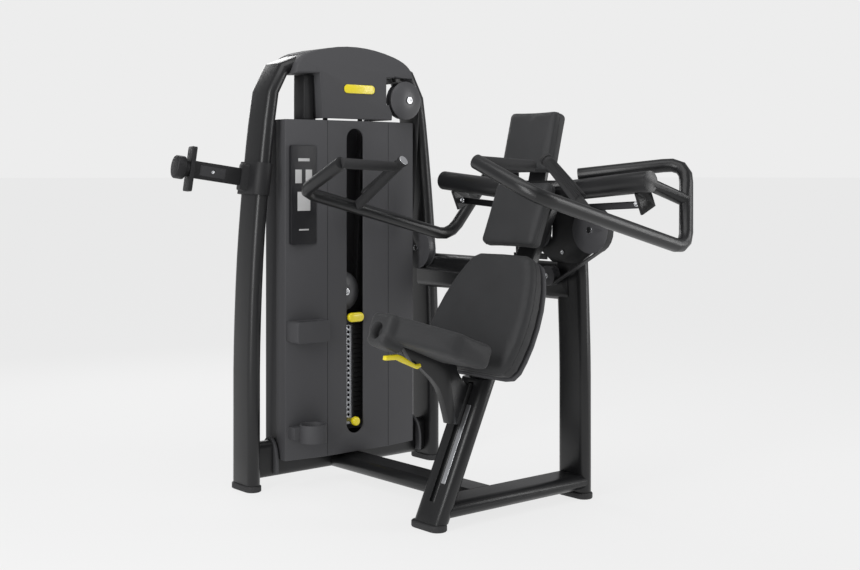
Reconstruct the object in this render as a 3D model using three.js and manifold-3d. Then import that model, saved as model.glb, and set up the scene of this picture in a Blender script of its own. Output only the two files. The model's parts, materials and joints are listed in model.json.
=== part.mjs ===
// Shoulder press machine with a weight stack, as a scene graph in millimetres, +Z up.
// The tower stands at the back (+Y), the seat in front of it, and the user faces -X.
import * as THREE from 'three';
import { mergeVertices } from 'three/addons/utils/BufferGeometryUtils.js';
import Module from 'manifold-3d';

const wasm = await Module();
wasm.setup();

// ---- driving dimensions ----
const OVAL_R = 24;              // half thickness of the flat-oval frame tube
const OVAL_S = 38;              // half length of its straight sides
const GAP = 0.4;                // clearance between pieces that touch
const TOWER_WIDTH = 782;        // between the centre lines of the tower legs
const TOWER_MID = TOWER_WIDTH / 2;
const SEAT_Y = -770;            // mid plane of seat, back pads and press arms
const REAR_X = 776;             // rear post, in line with the right tower leg
const SEAT_FOOT_X = 149;        // where the seat post meets the floor
const FOOT_HEIGHT = 20;
const BEAM_Z = 55;              // centre height of the base beams
const CROSS_Z = 93;             // centre height of the upright crossbeam between the tower legs
const LINK_Z = 703;             // centre height of the upper link beam
const POST_SLOPE = 0.467;       // seat post, run per rise
const SLEEVE_X = 609;           // pivot axis of the press arms
const SLEEVE_Z = 991.5;         // height of the pivot axis at the mid plane
const SLEEVE_RISE = 0.0898;     // the pivot axes rise outwards by this slope
const SLEEVE_R = 32;
const CORNER_R = 66;
const ARM_R = 21;
const GRIP_R = 16.5;
const PULLEY_R = 75;
const PULLEY_X = 700;           // front face of the side pulleys
const PULLEY_WIDTH = 30;
const BELT_WIDTH = 24;
const BELT_T = 4;
const BRACKET_X = 731.5;        // front face of the pulley bracket
const SHROUD_LEFT = 108;
const SHROUD_RIGHT = 660;
const SHROUD_BOTTOM = 90;
const SHROUD_TOP = 1240;
const SHROUD_FRONT = -92;
const SLOT_X = 385;             // centre of the weight window and of the stack
const STACK_BOTTOM = 187.5;
const PLATE_PITCH = 17;
const PLATE_COUNT = 20;
const SEAT_TILT = THREE.MathUtils.degToRad(22);

const vec = (x, y, z) => new THREE.Vector3(x, y, z);
const X = vec(1, 0, 0);
const Y = vec(0, 1, 0);
const Z = vec(0, 0, 1);

// ---- materials ----
const finish = (color, roughness, metalness) =>
  new THREE.MeshStandardMaterial({ color, roughness, metalness });
const PAINT = finish(0x232427, 0.38, 0.35);
const PLASTIC = finish(0x2f3033, 0.6, 0);
const DARK = finish(0x141416, 0.55, 0.1);
const CUSHION = finish(0x26262a, 0.72, 0);
const RUBBER = finish(0x1d1d1f, 0.8, 0);
const STEEL = finish(0xb8babd, 0.25, 0.9);
const YELLOW = finish(0xf4e01c, 0.4, 0);

// ---- solids ----
function solidOf(geometry) {
  const bare = new THREE.BufferGeometry();
  bare.setAttribute('position', geometry.getAttribute('position'));
  if (geometry.index) bare.setIndex(geometry.index);
  const merged = mergeVertices(bare, 1e-3);
  return new wasm.Manifold(new wasm.Mesh({
    numProp: 3,
    vertProperties: new Float32Array(merged.getAttribute('position').array),
    triVerts: new Uint32Array(merged.index.array),
  }));
}

function geometryOf(solid) {
  const mesh = solid.getMesh();
  const geometry = new THREE.BufferGeometry();
  geometry.setAttribute('position', new THREE.BufferAttribute(mesh.vertProperties, 3));
  geometry.setIndex(new THREE.BufferAttribute(mesh.triVerts, 1));
  return geometry;
}

function join(...geometries) {
  return geometryOf(geometries.map(solidOf).reduce((whole, next) => whole.add(next)));
}

function cut(base, ...cutters) {
  return geometryOf(cutters.map(solidOf).reduce((rest, next) => rest.subtract(next), solidOf(base)));
}

function mirrored(geometry) {
  const moved = geometryOf(solidOf(geometry));
  const place = moved.getAttribute('position');
  const index = moved.index.array;
  for (let i = 0; i < place.count; i += 1) place.setY(i, 2 * SEAT_Y - place.getY(i));
  for (let i = 0; i < index.length; i += 3) [index[i], index[i + 1]] = [index[i + 1], index[i]];
  return moved;
}

// ---- shapes ----
function ovalShape(radius = OVAL_R, straight = OVAL_S) {
  const shape = new THREE.Shape();
  shape.moveTo(-straight, -radius);
  shape.lineTo(straight, -radius);
  shape.absarc(straight, 0, radius, -Math.PI / 2, Math.PI / 2, false);
  shape.lineTo(-straight, radius);
  shape.absarc(-straight, 0, radius, Math.PI / 2, 1.5 * Math.PI, false);
  return shape;
}

function circleShape(radius) {
  return new THREE.Shape().absarc(0, 0, radius, 0, 2 * Math.PI, false);
}

function roundedShape(halfX, halfY, radius) {
  const shape = new THREE.Shape();
  shape.moveTo(-halfX + radius, -halfY);
  shape.absarc(halfX - radius, -halfY + radius, radius, -Math.PI / 2, 0, false);
  shape.absarc(halfX - radius, halfY - radius, radius, 0, Math.PI / 2, false);
  shape.absarc(-halfX + radius, halfY - radius, radius, Math.PI / 2, Math.PI, false);
  shape.absarc(-halfX + radius, -halfY + radius, radius, Math.PI, 1.5 * Math.PI, false);
  return shape;
}

function polygonShape(points) {
  return new THREE.Shape(points.map(([x, y]) => new THREE.Vector2(x, y)));
}

// A straight member with the given section, its long side along `wide`.
function beam(shape, from, to, wide, segments = 8, bevel = 0) {
  const run = to.clone().sub(from);
  const length = run.length();
  const geometry = new THREE.ExtrudeGeometry(shape, {
    depth: length - 2 * bevel,
    curveSegments: segments,
    bevelEnabled: bevel > 0,
    bevelThickness: bevel,
    bevelSize: bevel,
    bevelOffset: -bevel,
    bevelSegments: 2,
  });
  geometry.translate(0, 0, bevel);
  const along = run.normalize();
  const across = wide.clone().addScaledVector(along, -wide.dot(along)).normalize();
  const third = along.clone().cross(across);
  geometry.applyMatrix4(new THREE.Matrix4().makeBasis(across, third, along));
  geometry.translate(from.x, from.y, from.z);
  return geometry;
}

function rod(radius, from, to, sides = 12) {
  const run = to.clone().sub(from);
  const geometry = new THREE.CylinderGeometry(radius, radius, run.length(), sides);
  const turn = new THREE.Quaternion().setFromUnitVectors(Y, run.clone().normalize());
  geometry.applyQuaternion(turn);
  const middle = from.clone().add(to).multiplyScalar(0.5);
  geometry.translate(middle.x, middle.y, middle.z);
  return geometry;
}

function box(min, max) {
  const size = max.clone().sub(min);
  const geometry = new THREE.BoxGeometry(size.x, size.y, size.z);
  geometry.translate((min.x + max.x) / 2, (min.y + max.y) / 2, (min.z + max.z) / 2);
  return geometry;
}

// A turned piece: [distance along the axis, radius] pairs, closed at the axis.
function turned(profile, centre, axis, sides = 24) {
  const points = profile.map(([along, radius]) => new THREE.Vector2(radius, along));
  const geometry = new THREE.LatheGeometry(points, sides);
  geometry.applyQuaternion(new THREE.Quaternion().setFromUnitVectors(Y, axis));
  geometry.translate(centre.x, centre.y, centre.z);
  return geometry;
}

// Straight runs with rounded corners, as one path.
function bentPath(corners, radii) {
  const path = new THREE.CurvePath();
  let start = corners[0];
  for (let i = 1; i < corners.length - 1; i += 1) {
    const before = corners[i - 1].clone().sub(corners[i]).normalize();
    const after = corners[i + 1].clone().sub(corners[i]).normalize();
    const half = Math.acos(before.dot(after)) / 2;
    const reach = radii[i - 1] / Math.tan(half);
    const enter = corners[i].clone().addScaledVector(before, reach);
    const leave = corners[i].clone().addScaledVector(after, reach);
    path.add(new THREE.LineCurve3(start, enter));
    path.add(new THREE.QuadraticBezierCurve3(enter, corners[i], leave));
    start = leave;
  }
  path.add(new THREE.LineCurve3(start, corners[corners.length - 1]));
  return path;
}

function tubeAlong(path, radius, steps) {
  return new THREE.ExtrudeGeometry(circleShape(radius), {
    extrudePath: path,
    steps,
    curveSegments: 8,
    bevelEnabled: false,
  });
}

// ---- scene graph ----
const group = new THREE.Group();
const frame = new THREE.Group();
const drive = new THREE.Group();
const seat = new THREE.Group();
const arms = new THREE.Group();
group.add(frame, drive, seat, arms);

function add(parent, name, geometry, material) {
  const mesh = new THREE.Mesh(geometry, material);
  mesh.name = name;
  parent.add(mesh);
  return mesh;
}

// ---- frame ----
function towerPath() {
  const half = [[0, FOOT_HEIGHT + GAP], [0, 200], [1, 450], [10, 703], [21, 869], [46, 1119],
    [68, 1287], [88, 1375], [150, 1432], [260, 1448]];
  const left = half.map(([x, z]) => vec(x, 0, z));
  const right = half.map(([x, z]) => vec(TOWER_WIDTH - x, 0, z)).reverse();
  return new THREE.CatmullRomCurve3([...left, vec(TOWER_MID, 0, 1450), ...right]);
}

function rearPostPath() {
  const places = [[0, FOOT_HEIGHT + GAP], [0, 200], [-1, 450], [-10, 703], [-14, 768]];
  return new THREE.CatmullRomCurve3(places.map(([x, z]) => vec(REAR_X + x, SEAT_Y, z)));
}

function ovalTube(path, steps, grow = 0) {
  return new THREE.ExtrudeGeometry(ovalShape(OVAL_R + grow), {
    extrudePath: path,
    steps,
    curveSegments: 5,
    bevelEnabled: false,
  });
}

const seatPostAt = (z) => vec(SEAT_FOOT_X + POST_SLOPE * z, SEAT_Y, z);
const POST_TOP = 430;

function seatPost() {
  const whole = beam(ovalShape(), seatPostAt(-40), seatPostAt(470), Y);
  const floor = box(vec(-100, SEAT_Y - 90, -200), vec(500, SEAT_Y + 90, FOOT_HEIGHT + GAP));
  const ceiling = box(vec(0, SEAT_Y - 90, POST_TOP), vec(600, SEAT_Y + 90, 700));
  const slot = beam(roundedShape(12, 13, 11), seatPostAt(78), seatPostAt(POST_TOP - 12), Y);
  slot.translate(-OVAL_R, 0, 0);
  return cut(whole, floor, ceiling, slot);
}

function footPad(x, y) {
  return beam(ovalShape(OVAL_R + 5, OVAL_S), vec(x, y, 0), vec(x, y, FOOT_HEIGHT), Y, 4, 3);
}

function buildFrame() {
  const legs = ovalTube(towerPath(), 36);
  const legCutter = ovalTube(towerPath(), 36, GAP);
  const rear = ovalTube(rearPostPath(), 12);
  const rearCutter = ovalTube(rearPostPath(), 12, GAP);
  const postCutter = beam(ovalShape(OVAL_R + GAP), seatPostAt(-40), seatPostAt(200), Y);
  add(frame, 'tower_frame', join(legs, ...pulleyArms()), PAINT);
  add(frame, 'rear_post', rear, PAINT);
  add(frame, 'seat_post', seatPost(), PAINT);

  const flat = ovalShape();
  const cross = crossbeam(0);
  const crossCutter = crossbeam(GAP);
  add(frame, 'tower_crossbeam', cut(cross, legCutter), PAINT);

  const seatRun = [vec(SEAT_FOOT_X + 28, SEAT_Y, BEAM_Z), vec(REAR_X, SEAT_Y, BEAM_Z)];
  const seatBeam = beam(flat, ...seatRun, Y);
  const seatBeamCutter = beam(ovalShape(OVAL_R + GAP), ...seatRun, Y);
  add(frame, 'seat_base_beam', cut(seatBeam, postCutter, rearCutter), PAINT);

  const base = beam(flat, vec(TOWER_MID, SEAT_Y, BEAM_Z), vec(TOWER_MID, 0, BEAM_Z), X);
  add(frame, 'centre_base_beam', cut(base, crossCutter, seatBeamCutter), PAINT);

  const link = beam(flat, vec(REAR_X - 12, SEAT_Y, LINK_Z), vec(REAR_X - 12, 0, LINK_Z), Z);
  const stub = rod(5.6, vec(PULLEY_X + 2, GUIDE_AT[0], GUIDE_AT[1]), vec(REAR_X - 20, ...GUIDE_AT), 14);
  add(frame, 'upper_link_beam', cut(join(link, stub), legCutter, rearCutter), PAINT);

  const feet = [[0, 0], [TOWER_WIDTH, 0], [SEAT_FOOT_X, SEAT_Y], [REAR_X, SEAT_Y]];
  feet.forEach(([x, y], i) => add(frame, `foot_pad_${i + 1}`, footPad(x, y), RUBBER));

  for (const [name, x] of [['left', 88], ['right', 712]]) {
    add(frame, `beam_collar_${name}`, cut(beamCollar(x), crossCutter), PLASTIC);
  }
}

function crossbeam(grow) {
  return beam(ovalShape(OVAL_R + grow), vec(0, 0, CROSS_Z), vec(TOWER_WIDTH, 0, CROSS_Z), Z);
}

// Arms on the right tower leg that carry the corner pulley and the side pulley.
function pulleyArms() {
  return [
    box(vec(586, -58, 1300), vec(626, -46, 1428)),
    rod(8.4, vec(606, -50, 1318), vec(606, -112, 1318), 14),
    rod(8.4, vec(762, -45, 785), vec(PULLEY_X - 4, -45, 785), 14),
  ];
}

// Saddle that fits over the crossbeam.
function beamCollar(x) {
  const saddle = new THREE.Shape();
  saddle.moveTo(-46, 44);
  saddle.lineTo(46, 44);
  saddle.quadraticCurveTo(56, 150, 0, 168);
  saddle.quadraticCurveTo(-56, 150, -46, 44);
  return beam(saddle, vec(x, 0, 0), vec(x + 10, 0, 0), Y, 10);
}

// ---- tower covers ----
function shroudOutline(inset) {
  const left = SHROUD_LEFT + inset;
  const right = SHROUD_RIGHT - inset;
  const front = SHROUD_FRONT + inset;
  return [[left, -16], [left, front + 22], [left + 142, front], [right - 128, front],
    [right, front + 18], [right, -16]];
}

function shroudFront() {
  const outer = shroudOutline(0);
  const inner = shroudOutline(6).map(([x, y]) => [x, y === -16 ? -15 : y]).reverse();
  const wall = beam(polygonShape([...outer, ...inner]), vec(0, 0, SHROUD_BOTTOM),
    vec(0, 0, SHROUD_TOP), X);
  const slot = beam(ovalShape(36, 493), vec(SLOT_X, SHROUD_FRONT - 20, 684),
    vec(SLOT_X, SHROUD_FRONT + 30, 684), Z, 8);
  return cut(wall, slot, crossbeam(GAP));
}

function shroudRear() {
  const left = SHROUD_LEFT + 6;
  const right = SHROUD_RIGHT - 6;
  const outer = [[left, -13], [right, -13], [right, 58], [left, 58]];
  const inner = [[left + 6, -14], [left + 6, 52], [right - 6, 52], [right - 6, -14]];
  const outline = [[left, -13], [left + 6, -13], inner[1], inner[2], [right - 6, -13],
    [right, -13], outer[2], outer[3]];
  const shell = beam(polygonShape(outline), vec(0, 0, SHROUD_BOTTOM), vec(0, 0, SHROUD_TOP), X);
  return cut(shell, crossbeam(GAP));
}

function headCover() {
  const arch = new THREE.Shape();
  arch.moveTo(246, SHROUD_TOP + 6);
  arch.lineTo(548, SHROUD_TOP + 6);
  arch.lineTo(560, 1400);
  arch.lineTo(640, 1385);
  arch.quadraticCurveTo(655, 1440, 560, 1470);
  arch.quadraticCurveTo(TOWER_MID, 1520, 230, 1478);
  arch.quadraticCurveTo(140, 1460, 136, 1395);
  arch.lineTo(234, 1400);
  const whole = beam(arch, vec(0, 66, 0), vec(0, SHROUD_FRONT - 4, 0), X, 8, 6);
  const tunnel = ovalTube(towerPath(), 36, 1.5);
  const shell = box(vec(254, -88, SHROUD_TOP - 10), vec(541, 80, 1395));
  const passage = box(vec(520, -110, 1300), vec(640, -20, 1398));
  const notch = rod(76, vec(606, -140, 1318), vec(606, 0, 1318), 32);
  const arm = box(vec(583, -61, 1290), vec(629, -40, 1432));
  const axle = rod(7.4, vec(CROWN_PULLEY.x, -91, CROWN_PULLEY.z), vec(CROWN_PULLEY.x, 5, CROWN_PULLEY.z), 14);
  return join(cut(whole, tunnel, shell, passage, notch, arm), axle);
}

function buildCovers() {
  add(frame, 'shroud_front', shroudFront(), PLASTIC);
  add(frame, 'shroud_rear', shroudRear(), PLASTIC);
  add(frame, 'head_cover', headCover(), PLASTIC);
  add(frame, 'crown_box', box(vec(192, -60, SHROUD_TOP + GAP), vec(232, 4, 1394)), DARK);
  const face = SHROUD_FRONT - 4;
  add(frame, 'badge_plate', beam(roundedShape(66, 15, 14), vec(400, face - GAP, 1350),
    vec(400, face - 4, 1350), X, 5), YELLOW);
  const wing = -78.5;
  add(frame, 'instruction_placard', cut(beam(roundedShape(52, 168, 8), vec(170, wing - 12, 985),
    vec(170, wing, 985), X, 4), growFront()), DARK);
  add(frame, 'towel_hook_box', cut(beam(roundedShape(66, 36, 10), vec(178, -140, 525),
    vec(178, -60, 525), X, 4), growFront(), box(vec(128, -132, 500), vec(228, -96, 600))), DARK);
  add(frame, 'bottle_holder', bottleHolder(), DARK);
}

// The front cover grown by the clearance, used to trim what is screwed onto it.
function growFront() {
  const outer = shroudOutline(-GAP).map(([x, y]) => [x, y === -16 ? 0 : y]);
  return beam(polygonShape(outer), vec(0, 0, SHROUD_BOTTOM - 1), vec(0, 0, SHROUD_TOP + 1), X);
}

function bottleHolder() {
  const centre = vec(182, -128, 0);
  const cup = rod(46, centre.clone().setZ(155), centre.clone().setZ(215), 28);
  const back = box(vec(120, -110, 165), vec(244, -60, 205));
  const hollow = rod(40, centre.clone().setZ(161), centre.clone().setZ(230), 28);
  return cut(join(cup, back), hollow, growFront());
}

// ---- weight stack and drive ----
const STACK_TOP = STACK_BOTTOM + PLATE_PITCH * PLATE_COUNT;
const STACK_Y = -5;             // centre plane of the stack
const STACK_FRONT = STACK_Y - 45;
const ROD_REACH = 118;          // from the middle of the stack to each guide rod
const WINDING_Y = -40;          // plane of the belt above the stack
const BRIDGE_Z = 1262;          // underside of the plate that the guide rods hang in

// The plates rest on each other; a slightly smaller core joins them into one solid.
function weightStack() {
  const plates = [];
  for (let i = 0; i < PLATE_COUNT; i += 1) {
    plates.push(stackSlab(0, STACK_BOTTOM + PLATE_PITCH * i, PLATE_PITCH - 2));
  }
  const core = stackSlab(5, STACK_BOTTOM + 4, PLATE_PITCH * PLATE_COUNT - 10);
  return cut(join(core, ...plates), stemChannel(), ...rodHoles(STACK_BOTTOM - 5, STACK_TOP + 5));
}

function stackSlab(inset, z, height) {
  return box(vec(SLOT_X - 165 + inset, STACK_FRONT + inset, z),
    vec(SLOT_X + 165 - inset, STACK_Y + 45 - inset, z + height));
}

function rodHoles(low, high) {
  return [-1, 1].map((side) => rod(12, vec(SLOT_X + side * ROD_REACH, STACK_Y, low),
    vec(SLOT_X + side * ROD_REACH, STACK_Y, high), 12));
}

function stemChannel() {
  return box(vec(SLOT_X - 21, STACK_FRONT - 10, STACK_BOTTOM - 9),
    vec(SLOT_X + 21, STACK_FRONT + 31, STACK_TOP + 9));
}

// The head plate carries the pulley on an upright tab behind it.
function headPlate() {
  const slab = stackSlab(0, STACK_TOP, 38);
  const tab = box(vec(STACK_PULLEY.x - 26, WINDING_Y + 17, STACK_TOP + 30),
    vec(STACK_PULLEY.x + 26, WINDING_Y + 25, STACK_PULLEY.z + 26));
  const axle = rod(9.4, STACK_PULLEY.clone().setY(WINDING_Y + 21),
    STACK_PULLEY.clone().setY(WINDING_Y - 34), 14);
  return cut(join(slab, tab, axle), ...rodHoles(STACK_TOP - 1, STACK_TOP + 50));
}

function selectorStem() {
  const bar = box(vec(SLOT_X - 20.5, STACK_FRONT - 3, STACK_BOTTOM - 8),
    vec(SLOT_X + 20.5, STACK_FRONT + 30.5, STACK_TOP - GAP));
  const holes = [];
  for (let i = 0; i < PLATE_COUNT; i += 1) {
    const z = STACK_BOTTOM + PLATE_PITCH * (i + 0.5);
    holes.push(rod(5.5, vec(SLOT_X, STACK_FRONT - 10, z), vec(SLOT_X, STACK_FRONT + 40, z), 8));
  }
  return cut(bar, ...holes);
}

// Both rods hang in a plate under the head cover, which the belt passes through.
function guideRods() {
  const rods = [-1, 1].map((side) => rod(9.5, vec(SLOT_X + side * ROD_REACH, STACK_Y, 155.5),
    vec(SLOT_X + side * ROD_REACH, STACK_Y, BRIDGE_Z + 2), 12));
  const bridge = box(vec(256, -80, BRIDGE_Z), vec(539, 40, BRIDGE_Z + 12));
  const opening = box(vec(430, WINDING_Y - 17, BRIDGE_Z - 12), vec(470, WINDING_Y + 17, BRIDGE_Z + 28));
  return cut(join(bridge, ...rods), opening);
}

// A rubber strip on the crossbeam, round both rods.
function stackBumper() {
  const strip = box(vec(SLOT_X - 145, STACK_Y - 18, 156), vec(SLOT_X + 145, STACK_Y + 18, STACK_BOTTOM - GAP));
  const holes = [-1, 1].map((side) => rod(10.2, vec(SLOT_X + side * ROD_REACH, STACK_Y, 140),
    vec(SLOT_X + side * ROD_REACH, STACK_Y, 200), 14));
  const stem = box(vec(SLOT_X - 24, -60, STACK_BOTTOM - 9), vec(SLOT_X + 24, -10, STACK_BOTTOM + 5));
  return cut(strip, ...holes, crossbeam(GAP), stem);
}

function grooved(radius, centre, axis, bore) {
  const half = PULLEY_WIDTH / 2;
  const lip = BELT_WIDTH / 2 + 1;
  const floor = radius - BELT_T - 1;
  return turned([[-half, bore], [-half, radius], [-lip, radius], [-lip, floor], [lip, floor],
    [lip, radius], [half, radius], [half, bore], [-half, bore]], centre, axis);
}

const SIDE_BELT_X = PULLEY_X + PULLEY_WIDTH / 2;
const TOWER_PULLEY = vec(SIDE_BELT_X, -45, 785);
const NEAR_PULLEY = vec(SIDE_BELT_X, SEAT_Y - 135, 877);
const FAR_PULLEY = vec(SIDE_BELT_X, SEAT_Y + 135, 877);
const GUIDE_AT = [-715, 722];
const GUIDE_PULLEY = vec(SIDE_BELT_X, ...GUIDE_AT);
const CORNER_PULLEY = vec(606, -84, 1318);
const CROWN_PULLEY = vec(494, WINDING_Y, 1335);
const STACK_PULLEY = vec(358, WINDING_Y, 646);

function buildDrive() {
  add(drive, 'weight_stack', weightStack(), DARK);
  add(drive, 'head_plate', headPlate(), DARK);
  add(drive, 'selector_stem', selectorStem(), STEEL);
  add(drive, 'guide_rods', guideRods(), STEEL);
  add(drive, 'stack_bumper', stackBumper(), RUBBER);
  add(drive, 'selector_pin', selectorPin(), YELLOW);
  add(drive, 'add_weight_lever', addWeightLever(), YELLOW);
  add(drive, 'stack_pulley', domedPulley(STACK_PULLEY, 22), PLASTIC);
  add(drive, 'corner_pulley', domedPulley(CORNER_PULLEY, 20), PLASTIC);
  add(drive, 'tower_side_pulley', grooved(PULLEY_R, TOWER_PULLEY, X, 9), PLASTIC);
  add(drive, 'near_press_pulley', grooved(PULLEY_R, NEAR_PULLEY, X, 9), PLASTIC);
  add(drive, 'far_press_pulley', grooved(PULLEY_R, FAR_PULLEY, X, 9), PLASTIC);
  add(drive, 'guide_pulley', grooved(33, GUIDE_PULLEY, X, 6), PLASTIC);
  add(drive, 'crown_pulley', grooved(47, CROWN_PULLEY, Y, 8), PLASTIC);
  add(drive, 'drive_belt', driveBelt(), RUBBER);
  add(drive, 'lift_belt', liftBelt(), RUBBER);
}

function selectorPin() {
  const z = STACK_BOTTOM + PLATE_PITCH / 2;
  const front = vec(SLOT_X, STACK_FRONT - 3, z);
  const out = Y.clone().negate();
  return turned([[-32, 0], [-32, 4.6], [GAP, 4.6], [GAP, 7], [30, 7], [33, 14], [36, 15.5], [46, 15.5],
    [50, 13], [50, 0]], front, out, 18);
}

function addWeightLever() {
  const z = STACK_TOP + 30;
  const stalk = rod(6, vec(SLOT_X, STACK_FRONT - GAP, z), vec(SLOT_X, STACK_FRONT - 42, z), 10);
  const knob = beam(ovalShape(16, 17), vec(SLOT_X, STACK_FRONT - 38, z), vec(SLOT_X, STACK_FRONT - 52, z),
    X, 6, 3);
  return join(stalk, knob);
}

// Centre line of a belt round wheels [x, y, radius]: a positive radius is wound anticlockwise.
function beltLine(wheels) {
  const points = [];
  let heading = null;
  wheels.forEach(([x, y, radius], i) => {
    const arriving = heading;
    if (i < wheels.length - 1) {
      const [nextX, nextY, nextRadius] = wheels[i + 1];
      const reach = Math.hypot(nextX - x, nextY - y);
      heading = Math.atan2(nextY - y, nextX - x) + Math.asin((radius - nextRadius) / reach);
    }
    const from = arriving === null ? heading : arriving;
    let sweep = heading - from;
    while (radius > 0 && sweep < 0) sweep += 2 * Math.PI;
    while (radius < 0 && sweep > 0) sweep -= 2 * Math.PI;
    const steps = radius === 0 ? 0 : Math.max(1, Math.ceil(Math.abs(sweep) / 0.22));
    for (let k = 0; k <= steps; k += 1) {
      const angle = from - Math.PI / 2 + (steps ? (sweep * k) / steps : 0);
      points.push(new THREE.Vector2(x + radius * Math.cos(angle), y + radius * Math.sin(angle)));
    }
  });
  return points;
}

// A flat belt as an outline: its centre line thickened to both sides.
function beltShape(line) {
  const sides = [[], []];
  line.forEach((point, i) => {
    const before = line[Math.max(0, i - 1)];
    const after = line[Math.min(line.length - 1, i + 1)];
    const normal = after.clone().sub(before).normalize().multiplyScalar(BELT_T / 2);
    sides[0].push([point.x + normal.y, point.y - normal.x]);
    sides[1].unshift([point.x - normal.y, point.y + normal.x]);
  });
  return polygonShape([...sides[0], ...sides[1]]);
}

// The middle of the belt's thickness when it is wound on a pulley of this radius.
const wound = (radius) => radius - BELT_T / 2 - 1 + 2 * GAP;

// Round the press pulleys, under the guide pulley and up behind the tower's side pulley.
function sideLine() {
  const wheel = (centre, radius) => [centre.y, centre.z, wound(radius)];
  return beltLine([[FAR_PULLEY.y + 66, 792, 0], wheel(FAR_PULLEY, PULLEY_R),
    wheel(NEAR_PULLEY, PULLEY_R), wheel(GUIDE_PULLEY, 33), wheel(TOWER_PULLEY, PULLEY_R),
    [CORNER_PULLEY.y, 1283, 0]]);
}

function pressRun() {
  const line = sideLine();
  const leave = line[line.length - 2];
  const end = line[line.length - 1];
  end.sub(leave).setLength(8).add(leave);
  const run = new THREE.ExtrudeGeometry(beltShape(line), { depth: BELT_WIDTH, bevelEnabled: false });
  run.applyMatrix4(new THREE.Matrix4().makeBasis(Y, Z, X));
  run.translate(SIDE_BELT_X - BELT_WIDTH / 2, 0, 0);
  return run;
}

// From the tower's side pulley up to the corner pulley, a quarter turn on the way.
function twistedRun() {
  const leave = sideLine().slice(-2)[0];
  const low = vec(SIDE_BELT_X, leave.x, leave.y);
  const high = vec(CORNER_PULLEY.x + wound(CORNER_R), CORNER_PULLEY.y, CORNER_PULLEY.z + 2);
  const height = high.z - low.z;
  const run = new THREE.ExtrudeGeometry(roundedShape(BELT_WIDTH / 2, BELT_T / 2, 0.5),
    { depth: height, steps: 14, curveSegments: 1, bevelEnabled: false });
  const place = run.getAttribute('position');
  for (let i = 0; i < place.count; i += 1) {
    const part = place.getZ(i) / height;
    const turn = (Math.PI / 2) * Math.min(1, Math.max(0, part * 1.2 - 0.1));
    const sideways = THREE.MathUtils.clamp((part * 14 - 1) / 12, 0, 1);
    const forwards = Math.min(1, (part * 14) / 13);
    const across = place.getX(i);
    const deep = place.getY(i);
    const x = THREE.MathUtils.lerp(low.x, high.x, sideways);
    const y = THREE.MathUtils.lerp(low.y, high.y, forwards);
    place.setXYZ(i, x + across * Math.cos(turn) + deep * Math.sin(turn),
      y - across * Math.sin(turn) + deep * Math.cos(turn), low.z + place.getZ(i));
  }
  return run;
}

function flatRun(line, y) {
  const run = new THREE.ExtrudeGeometry(beltShape(line), { depth: BELT_WIDTH, bevelEnabled: false });
  run.applyMatrix4(new THREE.Matrix4().makeBasis(X, Z, Y.clone().negate()));
  run.translate(0, y + BELT_WIDTH / 2, 0);
  return run;
}

// Over the crown pulley, down round the stack pulley and up again to the bridge plate.
function crownLine() {
  return beltLine([[530, 1379.4, 0], [CROWN_PULLEY.x, CROWN_PULLEY.z, wound(47)],
    [STACK_PULLEY.x, STACK_PULLEY.z, -wound(CORNER_R)],
    [STACK_PULLEY.x - wound(CORNER_R), BRIDGE_Z - GAP, 0]]);
}

// The line's first points down to height z, or its points below it, cut where it crosses z.
function crownPart(z, upper) {
  const line = crownLine();
  const below = line.findIndex((point) => point.y < z);
  const [high, low] = [line[below - 1], line[below]];
  const at = high.clone().lerp(low, (high.y - z) / (high.y - low.y));
  return upper ? [...line.slice(0, below), at] : [at, ...line.slice(below)];
}

// The belt that stays where it is: round the press pulleys and up over the crown pulley.
function driveBelt() {
  const right = CORNER_PULLEY.x + wound(CORNER_R);
  const corner = beltLine([[right, CORNER_PULLEY.z - 4, 0],
    [CORNER_PULLEY.x, CORNER_PULLEY.z, wound(CORNER_R)], [568, 1380.4, 0]]);
  const across = beam(roundedShape(BELT_WIDTH / 2, BELT_T / 2, 0.5), vec(576, CORNER_PULLEY.y, 1380.6),
    vec(520, WINDING_Y, 1379.2), Y, 1);
  return join(pressRun(), twistedRun(), flatRun(corner, CORNER_PULLEY.y), across,
    flatRun(crownPart(BRIDGE_Z + GAP, true), WINDING_Y));
}

// The two strands and the loop under the stack pulley, which shorten as the stack rises.
function liftBelt() {
  return flatRun(crownPart(BRIDGE_Z - GAP, false), WINDING_Y);
}

// A pulley behind a round domed cover that faces the front.
function domedPulley(centre, dome) {
  return turned([[-15, 10], [-15, CORNER_R], [-13, CORNER_R], [-13, CORNER_R - BELT_T - 1],
    [13, CORNER_R - BELT_T - 1], [13, CORNER_R], [15, CORNER_R + 3], [18, CORNER_R + 2],
    [15 + dome * 0.5, CORNER_R - 12], [15 + dome * 0.85, CORNER_R * 0.5], [15 + dome, 10], [-15, 10]],
  centre, Y.clone().negate());
}

// ---- press arms ----
const sleeveAt = (offset) => vec(SLEEVE_X, SEAT_Y - offset, SLEEVE_Z + SLEEVE_RISE * offset);

const ARM_TIP = vec(55, -1082, 1089);
const ARM_FRONT = vec(66, -1304, 998);
const ARM_LOW = vec(690, -1298, 835);
const ARM_HIGH = vec(814, -1199, 1088);
const ARM_INNER = vec(636, -918, 1052);

function armBody() {
  const path = bentPath([ARM_TIP, ARM_FRONT, ARM_LOW, ARM_HIGH, ARM_INNER], [50, 70, 62]);
  const loop = tubeAlong(path, ARM_R, 50);
  const sleeve = rod(SLEEVE_R, sleeveAt(128), sleeveAt(462), 24);
  const bore = rod(18.5, sleeveAt(120), sleeveAt(455), 16);
  const strut = rod(20, sleeveAt(440), ARM_LOW.clone().lerp(ARM_HIGH, 0.55), 14);
  const plate = beam(roundedShape(34, 5, 4.5), sleeveAt(412).add(vec(20, 0, -20)),
    sleeveAt(412).add(vec(48, 0, -82)), X);
  return cut(join(loop, sleeve, strut, plate), bore);
}

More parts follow.
